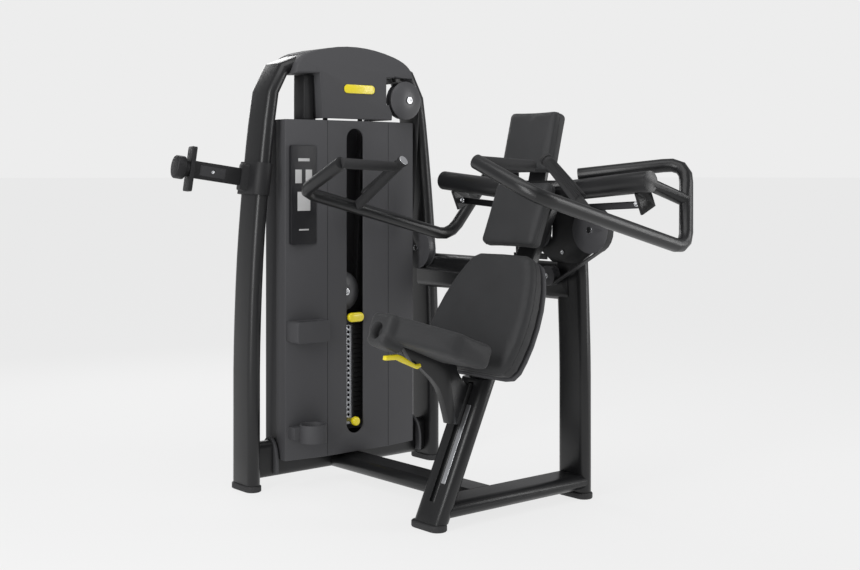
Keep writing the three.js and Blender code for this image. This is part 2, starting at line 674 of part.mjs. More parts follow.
const GRIP_ONE = [vec(76, -1083, 1088), vec(268, -1087, 1078)];
const GRIP_TWO = [vec(277, -1296, 962), vec(312, -1102, 1093)];

function gripOne() {
  return cut(rod(GRIP_R, ARM_TIP, GRIP_ONE[1], 14), rod(ARM_R + GAP, ARM_TIP, ARM_FRONT, 24));
}

function gripTwo() {
  const root = vec(275, -1300, 943);
  const cap = rod(19, GRIP_TWO[1], GRIP_TWO[1].clone().lerp(GRIP_TWO[0], -0.05), 16);
  return cut(join(rod(GRIP_R, root, GRIP_TWO[1], 14), cap), rod(ARM_R + GAP, ARM_FRONT, ARM_LOW, 24));
}

function tieRod() {
  const inner = sleeveAt(150).add(vec(26, 0, -56));
  const outer = sleeveAt(405).add(vec(42, 0, -64));
  return beam(roundedShape(5, 11, 4), inner, outer, X, 3);
}

function buildArms() {
  const pieces = [
    ['press_arm', armBody(), PAINT],
    ['front_grip', gripOne(), RUBBER],
    ['cross_grip', gripTwo(), RUBBER],
    ['tie_rod', tieRod(), DARK],
  ];
  for (const [name, geometry, material] of pieces) {
    add(arms, `${name}_left`, geometry, material);
    add(arms, `${name}_right`, mirrored(geometry), material);
  }
}

// ---- pivot head behind the backrest ----
function pivotBracket() {
  const outline = [[-60, 765.6], [60, 765.6], [128, 812], [172, 868], [158, 905], [118, 890],
    [62, 840], [60, 961], [-60, 961], [-62, 840], [-118, 890], [-158, 905], [-172, 868], [-128, 812]];
  const plate = beam(polygonShape(outline.map(([u, z]) => [u, z])), vec(BRACKET_X, SEAT_Y, 0),
    vec(BRACKET_X + 8, SEAT_Y, 0), Y);
  const axles = [NEAR_PULLEY, FAR_PULLEY].map((centre) => rod(8.4, vec(BRACKET_X + 4, centre.y, centre.z),
    vec(PULLEY_X - 4, centre.y, centre.z), 14));
  const anchor = box(vec(SIDE_BELT_X - 13, FAR_PULLEY.y + 52, 772), vec(BRACKET_X + 4, FAR_PULLEY.y + 78, 791.6));
  const arm = box(vec(BRACKET_X, FAR_PULLEY.y - 45, 772), vec(BRACKET_X + 8, FAR_PULLEY.y + 78, 791.6));
  return join(plate, anchor, arm, ...axles);
}

function buildPivotHead() {
  const hub = box(vec(SLEEVE_X - 20, SEAT_Y - 60, 962), vec(BRACKET_X + 8, SEAT_Y + 60, 1034));
  const axles = [-1, 1].map((side) => {
    const inner = sleeveAt(20);
    const outer = sleeveAt(452);
    if (side > 0) {
      inner.y = 2 * SEAT_Y - inner.y;
      outer.y = 2 * SEAT_Y - outer.y;
    }
    return rod(18, inner, outer, 16);
  });
  const headBar = beam(roundedShape(36, 10, 6), padPoint(HEAD_PAD, -36, 76), padPoint(HEAD_PAD, 132, 76), Y, 3);
  const headStop = beam(roundedShape(30, 22, 4), padPoint(HEAD_PAD, 70, 55 + GAP),
    padPoint(HEAD_PAD, 70, 72), Y, 3);
  add(frame, 'pivot_hub', join(hub, headBar, headStop, ...axles), PAINT);
  const rearCutter = ovalTube(rearPostPath(), 12, GAP);
  add(frame, 'pivot_bracket', cut(pivotBracket(), rearCutter), DARK);
}

// ---- seat and back ----
// Each pad: where its face starts, in x and z, and how far it leans back.
const LOW_PAD = [256.2, 470, Math.atan(0.55)];
const MID_PAD = [458, 836, Math.atan(0.398)];
const HEAD_PAD = [533, 1066, Math.atan(0.25)];

// A point at height v up the pad's face and depth d behind it.
function padPoint([x, z, lean], v, d) {
  return vec(x + v * Math.sin(lean) + d * Math.cos(lean), SEAT_Y,
    z + v * Math.cos(lean) - d * Math.sin(lean));
}

function padFrame([x, z, lean]) {
  const up = vec(Math.sin(lean), 0, Math.cos(lean));
  const front = vec(-Math.cos(lean), 0, Math.sin(lean));
  return new THREE.Matrix4().makeBasis(Y.clone().negate(), up, front).setPosition(x, SEAT_Y, z);
}

function padSolid(outline, thickness, bevel) {
  const geometry = new THREE.ExtrudeGeometry(outline, {
    depth: thickness - 2 * bevel,
    bevelEnabled: true,
    bevelThickness: bevel,
    bevelSize: bevel,
    bevelOffset: -bevel,
    bevelSegments: 2,
    curveSegments: 4,
  });
  geometry.translate(0, 0, bevel - thickness);
  return geometry;
}

function lowPadOutline() {
  const half = [[0, 0], [150, 0], [184, 6], [202, 30], [209, 70], [212, 120], [208, 180], [197, 240],
    [178, 300], [152, 352], [132, 380], [104, 394], [0, 396]];
  const other = half.slice(1, -1).reverse().map(([u, v]) => [-u, v]);
  return polygonShape([...half, ...other]);
}

function rectOutline(halfWidth, length, radius) {
  const shape = roundedShape(halfWidth, length / 2, radius);
  return new THREE.Shape(shape.getPoints(5).map((p) => p.setY(p.y + length / 2)));
}

function placed(geometry, matrix) {
  geometry.applyMatrix4(matrix);
  return geometry;
}

function seatOutline() {
  const shape = new THREE.Shape();
  shape.moveTo(-34, -30);
  shape.quadraticCurveTo(-34, -52, -6, -56);
  shape.lineTo(98, -172);
  shape.quadraticCurveTo(122, -200, 150, -200);
  shape.lineTo(238, -200);
  shape.quadraticCurveTo(262, -200, 262, -176);
  shape.lineTo(262, 176);
  shape.quadraticCurveTo(262, 200, 238, 200);
  shape.lineTo(150, 200);
  shape.quadraticCurveTo(122, 200, 98, 172);
  shape.lineTo(-6, 56);
  shape.quadraticCurveTo(-34, 52, -34, 30);
  return shape;
}

function seatCushion() {
  const slab = padSolid(seatOutline(), 71, 14);
  const nose = padSolid(roundedShape(44, 46, 18), 98, 14);
  nose.translate(12, 0, 0);
  const solid = join(slab, nose);
  solid.applyMatrix4(new THREE.Matrix4().makeRotationY(SEAT_TILT));
  solid.translate(0, SEAT_Y, 646);
  return solid;
}

// Curved web between the seat and its carriage.
function seatBracket() {
  const outline = [[40, 550.5], [73, 504], [100, 489], [123, 470], [147, 450], [166, 430], [180, 413],
    [190, 393], [201, 360], [209, 333], [217, 305], [245, 300], [287, 390], [292, 412], [278, 424],
    [264, 440], [252, 458], [246, 480], [232, 490], [215, 481.2]];
  const web = beam(polygonShape(outline.map(([x, z]) => [x, -z])), vec(0, SEAT_Y - 13, 0),
    vec(0, SEAT_Y + 13, 0), X);
  return cut(web, grownCarriage(GAP));
}

function grownCarriage(grow) {
  const out = vec(-1, 0, POST_SLOPE).normalize();
  const low = seatPostAt(286).addScaledVector(out, OVAL_R + 8.5);
  const high = seatPostAt(402).addScaledVector(out, OVAL_R + 8.5);
  return beam(roundedShape(14.5 + grow, 8 + grow, 4), low, high, Y, 3);
}

// The carriage rides on the front of the post; its tongue runs in the slot.
function seatCarriage() {
  const out = vec(-1, 0, POST_SLOPE).normalize();
  const low = seatPostAt(290).addScaledVector(out, OVAL_R - 2);
  const high = seatPostAt(398).addScaledVector(out, OVAL_R - 2);
  return join(grownCarriage(0), beam(roundedShape(10, 9, 3), low, high, Y, 3));
}

function scaleStrip() {
  const out = vec(-1, 0, POST_SLOPE).normalize();
  const low = seatPostAt(122).addScaledVector(out, OVAL_R + 2).setY(SEAT_Y - 25);
  const high = seatPostAt(345).addScaledVector(out, OVAL_R + 2).setY(SEAT_Y - 25);
  return beam(roundedShape(9, 1.4, 1.2), low, high, Y, 3);
}

function seatLever() {
  const outline = [[-40, 520], [-38, 533], [6, 534], [22, 528], [72, 498], [90, 500], [94, 490],
    [80, 484], [20, 510], [4, 518]];
  return beam(polygonShape(outline), vec(0, SEAT_Y - 16, 0), vec(0, SEAT_Y - 32, 0), X);
}

// The bar behind the pads, with a spacer to each of the two lower pads.
function backSupport() {
  const bar = beam(roundedShape(40, 18, 8), vec(340, SEAT_Y, 394), vec(680, SEAT_Y, 1013), Y, 4);
  const spacers = [[LOW_PAD, 60, 82.2, 100], [LOW_PAD, 250, 82.2, 100], [MID_PAD, 50, 45 + GAP, 112],
    [MID_PAD, 140, 45 + GAP, 118]].map(([pad, v, near, far]) => beam(roundedShape(30, 16, 4),
    padPoint(pad, v, near), padPoint(pad, v, far), Y, 1));
  const below = box(vec(200, SEAT_Y - 90, 300), vec(500, SEAT_Y + 90, POST_TOP + GAP));
  const above = box(vec(500, SEAT_Y - 90, 962 - GAP), vec(800, SEAT_Y + 90, 1100));
  return cut(join(bar, ...spacers), below, above);
}

function buildSeat() {
  const lower = padSolid(lowPadOutline(), 66, 18);
  const shell = padSolid(lowPadOutline(), 15, 5);
  shell.scale(0.97, 0.985, 1);
  shell.translate(0, 3, -66 - GAP);
  const lowPlace = padFrame(LOW_PAD);
  add(seat, 'lower_back_pad', placed(lower, lowPlace), CUSHION);
  add(seat, 'lower_back_shell', placed(shell, lowPlace), PLASTIC);
  add(seat, 'middle_back_pad', placed(padSolid(rectOutline(122, 214, 20), 45, 12),
    padFrame(MID_PAD)), CUSHION);
  add(seat, 'head_pad', placed(padSolid(rectOutline(108, 196, 18), 55, 12),
    padFrame(HEAD_PAD)), CUSHION);
  add(seat, 'seat_cushion', seatCushion(), CUSHION);
  add(seat, 'seat_bracket', seatBracket(), PAINT);
  add(seat, 'seat_carriage', seatCarriage(), DARK);
  add(seat, 'seat_lever', seatLever(), YELLOW);
  add(seat, 'height_scale', scaleStrip(), STEEL);
  add(seat, 'back_support', backSupport(), PAINT);
}

// ---- device holder clamped to the left tower leg ----
const HOLDER_OUT = vec(-0.966, 0.2, 0.15).normalize();
const HOLDER_AT = vec(30, 0, 1038);

function buildHolder() {
  const legCutter = ovalTube(towerPath(), 36, GAP);
  const low = vec(26, 0, 985);
  const high = vec(40, 0, 1092);
  const ring = beam(ovalShape(OVAL_R + 9, OVAL_S), low, high, Y, 8);
  const boss = beam(roundedShape(17, 44, 8), HOLDER_AT.clone().addScaledVector(HOLDER_OUT, 20),
    HOLDER_AT.clone().addScaledVector(HOLDER_OUT, 52), Y, 4);
  add(frame, 'holder_clamp', cut(join(ring, boss), legCutter), PLASTIC);
  const from = HOLDER_AT.clone().addScaledVector(HOLDER_OUT, 52 + GAP);
  const to = HOLDER_AT.clone().addScaledVector(HOLDER_OUT, 232);
  const bar = beam(roundedShape(9, 29, 5), from, to, Y, 3);
  const plate = beam(roundedShape(27, 74, 8), HOLDER_AT.clone().addScaledVector(HOLDER_OUT, 218),
    HOLDER_AT.clone().addScaledVector(HOLDER_OUT, 232), Y, 4);
  add(frame, 'device_holder_arm', join(bar, plate), PLASTIC);
  add(frame, 'device_holder_knob', turned([[0, 0], [0, 26], [12, 26], [14, 36], [18, 38.5],
    [44, 38.5], [48, 35], [48, 0]], HOLDER_AT.clone().addScaledVector(HOLDER_OUT, 232 + GAP),
    HOLDER_OUT, 24), PLASTIC);
}

// Stand the machine on its own footprint: the origin is the middle of its floor area.
function centreOnFloor() {
  const bounds = new THREE.Box3().setFromObject(group, true);
  const centre = bounds.getCenter(vec(0, 0, 0));
  group.position.set(-centre.x, -centre.y, -bounds.min.z);
  group.updateMatrixWorld(true);
}

buildFrame();
buildCovers();
buildHolder();
buildDrive();
buildArms();
buildPivotHead();
buildSeat();
centreOnFloor();

export default group;
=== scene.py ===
"""Looks of a seated shoulder press machine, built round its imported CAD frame."""

import json
import math

import bpy
from bpy.props import FloatProperty, FloatVectorProperty, PointerProperty
from mathutils import Matrix, Vector


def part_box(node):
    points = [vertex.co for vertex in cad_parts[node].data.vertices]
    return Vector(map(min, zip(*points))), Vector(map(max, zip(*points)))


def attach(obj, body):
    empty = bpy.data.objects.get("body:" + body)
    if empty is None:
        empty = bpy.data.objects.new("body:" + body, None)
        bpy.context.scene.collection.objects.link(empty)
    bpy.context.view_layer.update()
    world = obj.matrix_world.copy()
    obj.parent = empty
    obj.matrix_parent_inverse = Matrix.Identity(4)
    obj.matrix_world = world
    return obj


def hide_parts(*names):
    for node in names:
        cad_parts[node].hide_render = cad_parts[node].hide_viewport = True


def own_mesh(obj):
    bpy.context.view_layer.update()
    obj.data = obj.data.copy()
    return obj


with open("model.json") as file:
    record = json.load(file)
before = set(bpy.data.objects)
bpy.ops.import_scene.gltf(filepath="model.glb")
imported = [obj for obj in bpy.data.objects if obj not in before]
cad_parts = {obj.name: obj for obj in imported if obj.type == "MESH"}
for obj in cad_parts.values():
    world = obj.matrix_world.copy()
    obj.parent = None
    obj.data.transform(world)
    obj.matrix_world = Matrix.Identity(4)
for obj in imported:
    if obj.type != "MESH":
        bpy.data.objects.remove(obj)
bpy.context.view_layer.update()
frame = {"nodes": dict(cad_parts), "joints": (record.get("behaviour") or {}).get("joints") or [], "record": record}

bl_info = {
    "name": "Shoulder press machine",
    "version": (1, 0, 0),
    "blender": (4, 5, 0),
    "location": "3D View > Sidebar > Machine",
    "description": "Paint, covers, pads, belts and small parts of a shoulder press machine",
    "category": "Object",
}

# Where the CAD's own drawing origin, the left tower foot, lies in the frame, in metres.
TOWER_FOOT = Vector((-0.284737, 0.615576, 0))
MACHINE_MIDDLE = Vector((0, 0, 0.75))
PADS = {
    "lower_back_pad": math.atan(0.55),
    "middle_back_pad": math.atan(0.398),
    "head_pad": math.atan(0.25),
}
SEAT_TILT = math.radians(22)
SEAT_MIDDLE = -770  # the drawing's Y of the plane that halves the seat and the arms
POST_UP = Vector((0.42313, 0, 0.90607))
POST_OUT = Vector((-1, 0, 0.467))
CLOTH_PRESSURE = 4.0
CLOTH_STEPS = 20
SURROUNDINGS = (0.36, 0.36, 0.365, 1)
BACKDROP = (0.847, 0.847, 0.847, 1)
EYE = (-2.6827, -3.1704, 1.052)
EYE_TURN = -math.atan2(0.6457, 0.7635)


def at(x, y, z):
    """A point of the CAD drawing, in millimetres from the left tower foot, in the frame."""
    return TOWER_FOOT + Vector((x, y, z)) / 1000


# ---- shader maths ----


class Value:
    """A socket that can be used in sums."""

    def __init__(self, finish, socket):
        self.finish = finish
        self.socket = socket

    def _math(self, operation, first, second):
        return self.finish.node("ShaderNodeMath", {"operation": operation}, {0: first, 1: second})

    def __add__(self, other):
        return self._math("ADD", self, other)

    def __mul__(self, other):
        return self._math("MULTIPLY", self, other)

    __radd__ = __add__
    __rmul__ = __mul__


class Finish:
    """One procedural material, worked out from object coordinates in metres."""

    def __init__(self, name):
        self.material = bpy.data.materials.new(name)
        self.material.use_nodes = True
        self.tree = self.material.node_tree
        self.shader = self.tree.nodes["Principled BSDF"]
        self.place = self.node("ShaderNodeTexCoord", out="Object")

    def node(self, kind, settings=None, inputs=None, out=0):
        made = self.tree.nodes.new(kind)
        for key, value in (settings or {}).items():
            setattr(made, key, value)
        for key, value in (inputs or {}).items():
            self.plug(made.inputs[key], value)
        return Value(self, made.outputs[out])

    def plug(self, socket, value):
        if isinstance(value, Value):
            self.tree.links.new(value.socket, socket)
        else:
            socket.default_value = value

    def noise(self, scale, detail=2.0, place=None):
        return self.node("ShaderNodeTexNoise", None,
                         {"Vector": place or self.place, "Scale": scale, "Detail": detail})

    def stretched(self, x, y, z):
        return self.node("ShaderNodeMapping", None,
                         {"Vector": self.place, "Scale": (x, y, z)})

    def blend(self, factor, dark, light):
        return self.node("ShaderNodeMix", {"data_type": "RGBA"},
                         {0: factor, 6: (*dark, 1), 7: (*light, 1)}, out=2)

    def bump(self, height, distance, strength=1.0):
        normal = self.node("ShaderNodeBump", None,
                           {"Height": height, "Distance": distance, "Strength": strength})
        self.plug(self.shader.inputs["Normal"], normal)

    def set(self, **values):
        for key, value in values.items():
            self.plug(self.shader.inputs[key.replace("_", " ")], value)
        return self


def tone(color, factor):
    return tuple(min(1.0, channel * factor) for channel in color)


def powder_coat(name, color):
    """Satin paint baked on as powder: a fine orange-peel surface."""
    paint = Finish(name)
    cloudy = paint.noise(9, 3)
    peel = paint.noise(900, 2)
    paint.set(Base_Color=paint.blend(cloudy, tone(color, 0.85), tone(color, 1.2)),
              Roughness=cloudy * 0.1 + 0.28, Specular_IOR_Level=0.42)
    paint.bump(peel, 0.00012)
    return paint.material


def grained_plastic(name, color, rough=0.46):
    """Moulded plastic with a fine spark-eroded grain."""
    plastic = Finish(name)
    grain = plastic.node("ShaderNodeTexVoronoi", None, {"Vector": plastic.place, "Scale": 1100.0})
    cloudy = plastic.noise(5, 2)
    plastic.set(Base_Color=plastic.blend(cloudy, tone(color, 0.9), tone(color, 1.1)),
                Roughness=cloudy * 0.08 + rough, Specular_IOR_Level=0.32)
    plastic.bump(grain, 0.00015)
    return plastic.material


def synthetic_leather(name, color):
    """Upholstery with a pebbled grain, a soft sheen and slight mottling."""
    hide = Finish(name)
    pebble = hide.node("ShaderNodeTexVoronoi", {"feature": "DISTANCE_TO_EDGE"},
                       {"Vector": hide.place, "Scale": 620.0})
    fine = hide.noise(1500, 2)
    mottle = hide.noise(14, 3)
    hide.set(Base_Color=hide.blend(mottle, tone(color, 0.85), tone(color, 1.2)),
             Roughness=mottle * 0.12 + 0.5, Specular_IOR_Level=0.3,
             Sheen_Weight=0.05, Sheen_Roughness=0.5)
    hide.bump(pebble * 0.8 + fine * 0.2, 0.0004)
    return hide.material


def rubber(name, color):
    """Matte rubber with a dusty bloom."""
    skin = Finish(name)
    bloom = skin.noise(30, 4)
    skin.set(Base_Color=skin.blend(bloom, tone(color, 0.8), tone(color, 1.4)),
             Roughness=bloom * 0.15 + 0.62)
    skin.bump(skin.noise(1300, 2), 0.00015)
    return skin.material


def metal(name, color, rough, stretch=(1, 1, 1)):
    """Bare metal, with brushing drawn out along one axis where it is brushed."""
    bare = Finish(name)
    brushing = bare.noise(500, 3, bare.stretched(*stretch))
    bare.set(Base_Color=bare.blend(brushing, tone(color, 0.92), tone(color, 1.05)),
             Roughness=brushing * 0.1 + rough, Metallic=1.0)
    return bare.material


def cast_iron(name, color):
    """Black painted iron with a slightly pitted surface."""
    iron = Finish(name)
    pits = iron.noise(420, 5)
    iron.set(Base_Color=iron.blend(pits, tone(color, 0.8), tone(color, 1.25)),
             Roughness=pits * 0.15 + 0.42, Metallic=0.2)
    iron.bump(pits, 0.0003)
    return iron.material


def glossy_plastic(name, color):
    """Bright moulded plastic under a clear gloss."""
    gloss = Finish(name)
    cloudy = gloss.noise(20, 2)
    gloss.set(Base_Color=gloss.blend(cloudy, tone(color, 0.96), tone(color, 1.0)),
              Roughness=cloudy * 0.06 + 0.26, Coat_Roughness=0.12)
    gloss.shader.inputs["Coat Weight"].default_value = 0.3
    gloss.bump(gloss.noise(700, 2), 0.00006)
    return gloss.material


def woven_belt(name, color):
    """Drive belt: rubber over cords that show as fine ribs across Y and X."""
    belt = Finish(name)
    ribs = belt.node("ShaderNodeTexWave", {"bands_direction": "DIAGONAL"},
                     {"Vector": belt.place, "Scale": 260.0, "Distortion": 0.3})
    belt.set(Base_Color=belt.blend(ribs, tone(color, 0.8), tone(color, 1.3)),
             Roughness=ribs * 0.1 + 0.55)
    belt.bump(ribs, 0.0002)
    return belt.material


# ---- modelling helpers ----


def only(piece):
    """Select one object and nothing else."""
    bpy.ops.object.select_all(action="DESELECT")
    bpy.context.view_layer.objects.active = piece
    piece.select_set(True)


def settle(piece):
    """Put the object at the origin with its place in its mesh."""
    only(piece)
    bpy.ops.object.transform_apply(location=True, rotation=True, scale=True)


def add_modifier(piece, kind, **settings):
    """Add a modifier and apply it."""
    only(piece)
    modifier = piece.modifiers.new(kind.title(), kind)
    for key, value in settings.items():
        setattr(modifier, key, value)
    bpy.ops.object.modifier_apply(modifier=modifier.name)


def smooth(piece, angle=38):
    only(piece)
    bpy.ops.object.shade_smooth_by_angle(angle=math.radians(angle))


def merged_copy(node, name):
    """A CAD node's shape as one joined surface, with its flat faces whole."""
    mesh = frame["nodes"][node].data.copy()
    piece = bpy.data.objects.new(name, mesh)
    bpy.context.scene.collection.objects.link(piece)
    only(piece)
    bpy.ops.object.mode_set(mode="EDIT")
    bpy.ops.mesh.select_all(action="SELECT")
    bpy.ops.mesh.remove_doubles(threshold=0.00002)
    bpy.ops.mesh.dissolve_limited(angle_limit=math.radians(0.4))
    bpy.ops.object.mode_set(mode="OBJECT")
    piece.data.materials.clear()
    return piece


def body_holding(node):
    for body, nodes in frame["record"]["behaviour"]["bodies"].items():
        if node in nodes:
            return body
    raise RuntimeError(f"{node} is in no body")


def finish_piece(piece, material, slot, body, *nodes):
    """Give a piece its finish and its body, and hide the CAD nodes that it stands for."""
    piece.data.materials.clear()
    piece.data.materials.append(material)
    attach(piece, body)
    if nodes:
        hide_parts(*nodes)
    return piece


def rounded(node, material, slot, width=0.0015, angle=34):
    """The CAD shape with its sharp edges broken."""
    piece = merged_copy(node, f"{node}_finished")
    add_modifier(piece, "BEVEL", width=width, segments=2, limit_method="ANGLE",
                 angle_limit=math.radians(angle))
    smooth(piece)
    return finish_piece(piece, material, slot, body_holding(node), node)


def turned_to(direction):
    return Vector(direction).to_track_quat("Z", "Y").to_euler()


def socket_bolt(name, place, direction, radius, material, body, height=0.004):
    """A round-headed bolt with a rim and a sunk drive."""
    bpy.ops.object.select_all(action="DESELECT")
    bpy.ops.mesh.primitive_cylinder_add(vertices=32, radius=radius, depth=height,
                                        location=place, rotation=turned_to(direction))
    bolt = bpy.context.active_object
    bolt.name = name
    bpy.ops.object.mode_set(mode="EDIT")
    bpy.ops.mesh.select_all(action="DESELECT")
    bpy.ops.object.mode_set(mode="OBJECT")
    for face in bolt.data.polygons:
        face.select = face.normal.z > 0.9
    bpy.ops.object.mode_set(mode="EDIT")
    bpy.ops.mesh.inset(thickness=radius * 0.28, depth=0)
    bpy.ops.mesh.inset(thickness=radius * 0.1, depth=-height * 0.3)
    bpy.ops.mesh.inset(thickness=radius * 0.2, depth=0)
    bpy.ops.mesh.inset(thickness=radius * 0.03, depth=-height * 0.3)
    bpy.ops.object.mode_set(mode="OBJECT")
    settle(bolt)
    add_modifier(bolt, "BEVEL", width=radius * 0.05, segments=2, limit_method="ANGLE")
    smooth(bolt)
    return finish_piece(bolt, material, "bright_steel", body)


def slab(name, middle, size, material, slot, body, radius=0.002, turn=(0, 0, 0)):
    """A small flat plate with its corners and edges rounded."""
    bpy.ops.object.select_all(action="DESELECT")
    bpy.ops.mesh.primitive_cube_add(size=1, location=middle, rotation=turn)
    plate = bpy.context.active_object
    plate.name = name
    plate.scale = size
    settle(plate)
    add_modifier(plate, "BEVEL", width=min(radius, min(size) * 0.45), segments=3,
                 limit_method="ANGLE")
    smooth(plate)
    return finish_piece(plate, material, slot, body)


def ring_tube(name, points, radius, material, slot, body):
    """A thin closed tube through points, such as a welt or a ring."""
    curve = bpy.data.curves.new(name, "CURVE")
    curve.dimensions = "3D"
    curve.bevel_depth = radius
    curve.bevel_resolution = 2
    line = curve.splines.new("POLY")
    line.points.add(len(points) - 1)
    for spot, point in zip(line.points, points):
        spot.co = (*point, 1)
    line.use_cyclic_u = True
    welt = bpy.data.objects.new(name, curve)
    bpy.context.scene.collection.objects.link(welt)
    only(welt)
    bpy.ops.object.convert(target="MESH")
    smooth(welt, 60)
    return finish_piece(welt, material, slot, body)


def round_bar(name, start, end, radius, material, slot, body, sides=24, edge=0.001):
    """A short round bar or cap from start to end, with its rims rounded."""
    bpy.ops.object.select_all(action="DESELECT")
    bpy.ops.mesh.primitive_cylinder_add(vertices=sides, radius=radius,
                                        depth=(end - start).length,
                                        location=(start + end) / 2,
                                        rotation=turned_to(end - start))
    bar = bpy.context.active_object
    bar.name = name
    settle(bar)
    add_modifier(bar, "BEVEL", width=edge, segments=3, limit_method="ANGLE")
    smooth(bar)
    return finish_piece(bar, material, slot, body)


def fluted_sleeve(name, start, end, radius, count, material, slot, body):
    """Lengthwise ribs round a grip, each standing a little proud."""
    along = (end - start).normalized()
    side = along.cross(Vector((0, 0, 1))).normalized()
    ribs = []
    for i in range(count):
        out = Matrix.Rotation(2 * math.pi * i / count, 3, along) @ side
        bpy.ops.object.select_all(action="DESELECT")
        middle = (start + end) / 2 + out * radius
        bpy.ops.mesh.primitive_cylinder_add(vertices=8, radius=0.0011,
                                            depth=(end - start).length, location=middle,
                                            rotation=turned_to(along))
        ribs.append(bpy.context.active_object)
    bpy.ops.object.select_all(action="DESELECT")
    for rib in ribs:
        rib.select_set(True)
    bpy.context.view_layer.objects.active = ribs[0]
    bpy.ops.object.join()
    sleeve = bpy.context.active_object
    sleeve.name = name
    settle(sleeve)
    smooth(sleeve, 60)
    return finish_piece(sleeve, material, slot, body)


# ---- upholstery ----


def stuffed(node, name, shrink, cap, voxel=0.005):
    """Blow a slightly smaller copy of the pad up as cloth, and keep it near its start.

    At the default swell nearly every point is stopped at cap, so the pad keeps the CAD's form.
    """
    pad = merged_copy(node, name)
    low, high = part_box(node)
    middle = (low + high) / 2
    bpy.ops.object.mode_set(mode="EDIT")
    bpy.ops.mesh.select_all(action="SELECT")
    bpy.ops.transform.resize(value=(shrink,) * 3, center_override=middle)
    bpy.ops.object.mode_set(mode="OBJECT")
    pad.data.remesh_voxel_size = voxel
    only(pad)
    bpy.ops.object.voxel_remesh()
    start = [vertex.co.copy() for vertex in pad.data.vertices]
    cloth = pad.modifiers.new("Cloth", "CLOTH")
    cloth.settings.use_pressure = True
    cloth.settings.uniform_pressure_force = CLOTH_PRESSURE
    cloth.settings.effector_weights.gravity = 0.0
    cloth.settings.quality = 5
    for step in range(1, CLOTH_STEPS + 1):
        bpy.context.scene.frame_set(step)
    only(pad)
    bpy.ops.object.modifier_apply(modifier=cloth.name)
    bpy.context.scene.frame_set(1)
    for vertex, was in zip(pad.data.vertices, start):
        moved = vertex.co - was
        if moved.length > cap:
            vertex.co = was + moved.normalized() * cap
    add_modifier(pad, "SMOOTH", factor=0.5, iterations=4)
    add_modifier(pad, "SUBSURF", levels=1, render_levels=1)
    smooth(pad, 80)
    return pad


def seat_point(x, y, z):
    """A point of the seat, from its own tilted axes in millimetres."""
    cos, sin = math.cos(SEAT_TILT), math.sin(SEAT_TILT)
    return at(x * cos + z * sin, SEAT_MIDDLE + y, 646 - x * sin + z * cos)


def hollow_nose(seat):
    """Sink the open end of the roll at the seat's nose."""
    inward = (seat_point(1, 0, 0) - seat_point(0, 0, 0)).normalized()
    bpy.ops.object.select_all(action="DESELECT")
    bpy.ops.mesh.primitive_cylinder_add(vertices=40, radius=0.026, depth=0.06,
                                        location=seat_point(-26, 0, -56),
                                        rotation=turned_to(inward))
    core = bpy.context.active_object
    add_modifier(core, "BEVEL", width=0.006, segments=3, limit_method="ANGLE")
    add_modifier(seat, "BOOLEAN", operation="DIFFERENCE", object=core, solver="EXACT")
    bpy.data.objects.remove(core)
    smooth(seat, 50)


def welt_round(pad, middle, across, up, depth, count=96):
    """Points on the pad's surface, found from outside in the plane across and up."""
    points = []
    for i in range(count):
        angle = 2 * math.pi * i / count
        out = across * math.cos(angle) + up * math.sin(angle)
        plane = middle + depth
        hit, place, _, _ = pad.ray_cast(plane + out * 0.6, -out)
        if hit:
            points.append(place.copy())
    return points


def kept_half(piece, height, upper):
    """Cut the piece level at this height and close the cut."""
    only(piece)
    bpy.ops.object.mode_set(mode="EDIT")
    bpy.ops.mesh.select_all(action="SELECT")
    bpy.ops.mesh.bisect(plane_co=(0, 0, height), plane_no=(0, 0, 1), use_fill=True,
                        clear_inner=upper, clear_outer=not upper)
    bpy.ops.object.mode_set(mode="OBJECT")
    smooth(piece)


def hang_belt(belt):
    """The loop under the stack pulley rises with the stack; the strands above it stay with the frame."""
    low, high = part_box("stack_pulley")
    cut = (low.z + high.z) / 2
    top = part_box("lift_belt")[1].z
    travel = next(j for j in frame["joints"] if j["name"] == "stack_lift")["range_m"][1]
    loop = merged_copy("lift_belt", "lift_belt_loop")
    kept_half(loop, cut, False)
    finish_piece(loop, belt, "black_rubber", "stack", "lift_belt")
    strands = merged_copy("lift_belt", "lift_belt_strands")
    kept_half(strands, cut, True)
    finish_piece(strands, belt, "black_rubber", "frame", "lift_belt")
    (top - cut - travel) / (top - cut)
    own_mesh(strands)


# ---- settings ----


class PaintSettings(bpy.types.PropertyGroup):
    """Colours and edge sizes of the hard parts"""

    frame_color: FloatVectorProperty(name="Frame paint", description="Colour of the tubes",
                                     default=(0.0095, 0.0097, 0.0104), size=3, subtype="COLOR",
                                     min=0, max=1)
    cover_color: FloatVectorProperty(name="Cover plastic",
                                     description="Meant for the covers; has no effect yet",
                                     default=(0.0088, 0.009, 0.0096), size=3, subtype="COLOR",
                                     min=0, max=1)
    accent_color: FloatVectorProperty(name="Accent", description="Colour of knobs and badge",
                                      default=(0.80, 0.66, 0.012), size=3, subtype="COLOR",
                                      min=0, max=1)
    edge: FloatProperty(name="Edge rounding", description="Width of the broken edges",
                        default=0.0015, min=0.0002, max=0.004, subtype="DISTANCE", unit="LENGTH")


class PadSettings(bpy.types.PropertyGroup):
    """Upholstery of the seat and the back"""

    hide_color: FloatVectorProperty(name="Upholstery", description="Colour of the pads",
                                    default=(0.0258, 0.0262, 0.0275), size=3, subtype="COLOR",
                                    min=0, max=1)
    welt: FloatProperty(name="Welt radius", description="Radius of the seam's welt",
                        default=0.0014, min=0.0005, max=0.004, subtype="DISTANCE", unit="LENGTH")
    swell: FloatProperty(name="Swell", description="How far a pad's surface may swell",
                         default=0.003, min=0.0, max=0.02, subtype="DISTANCE", unit="LENGTH")


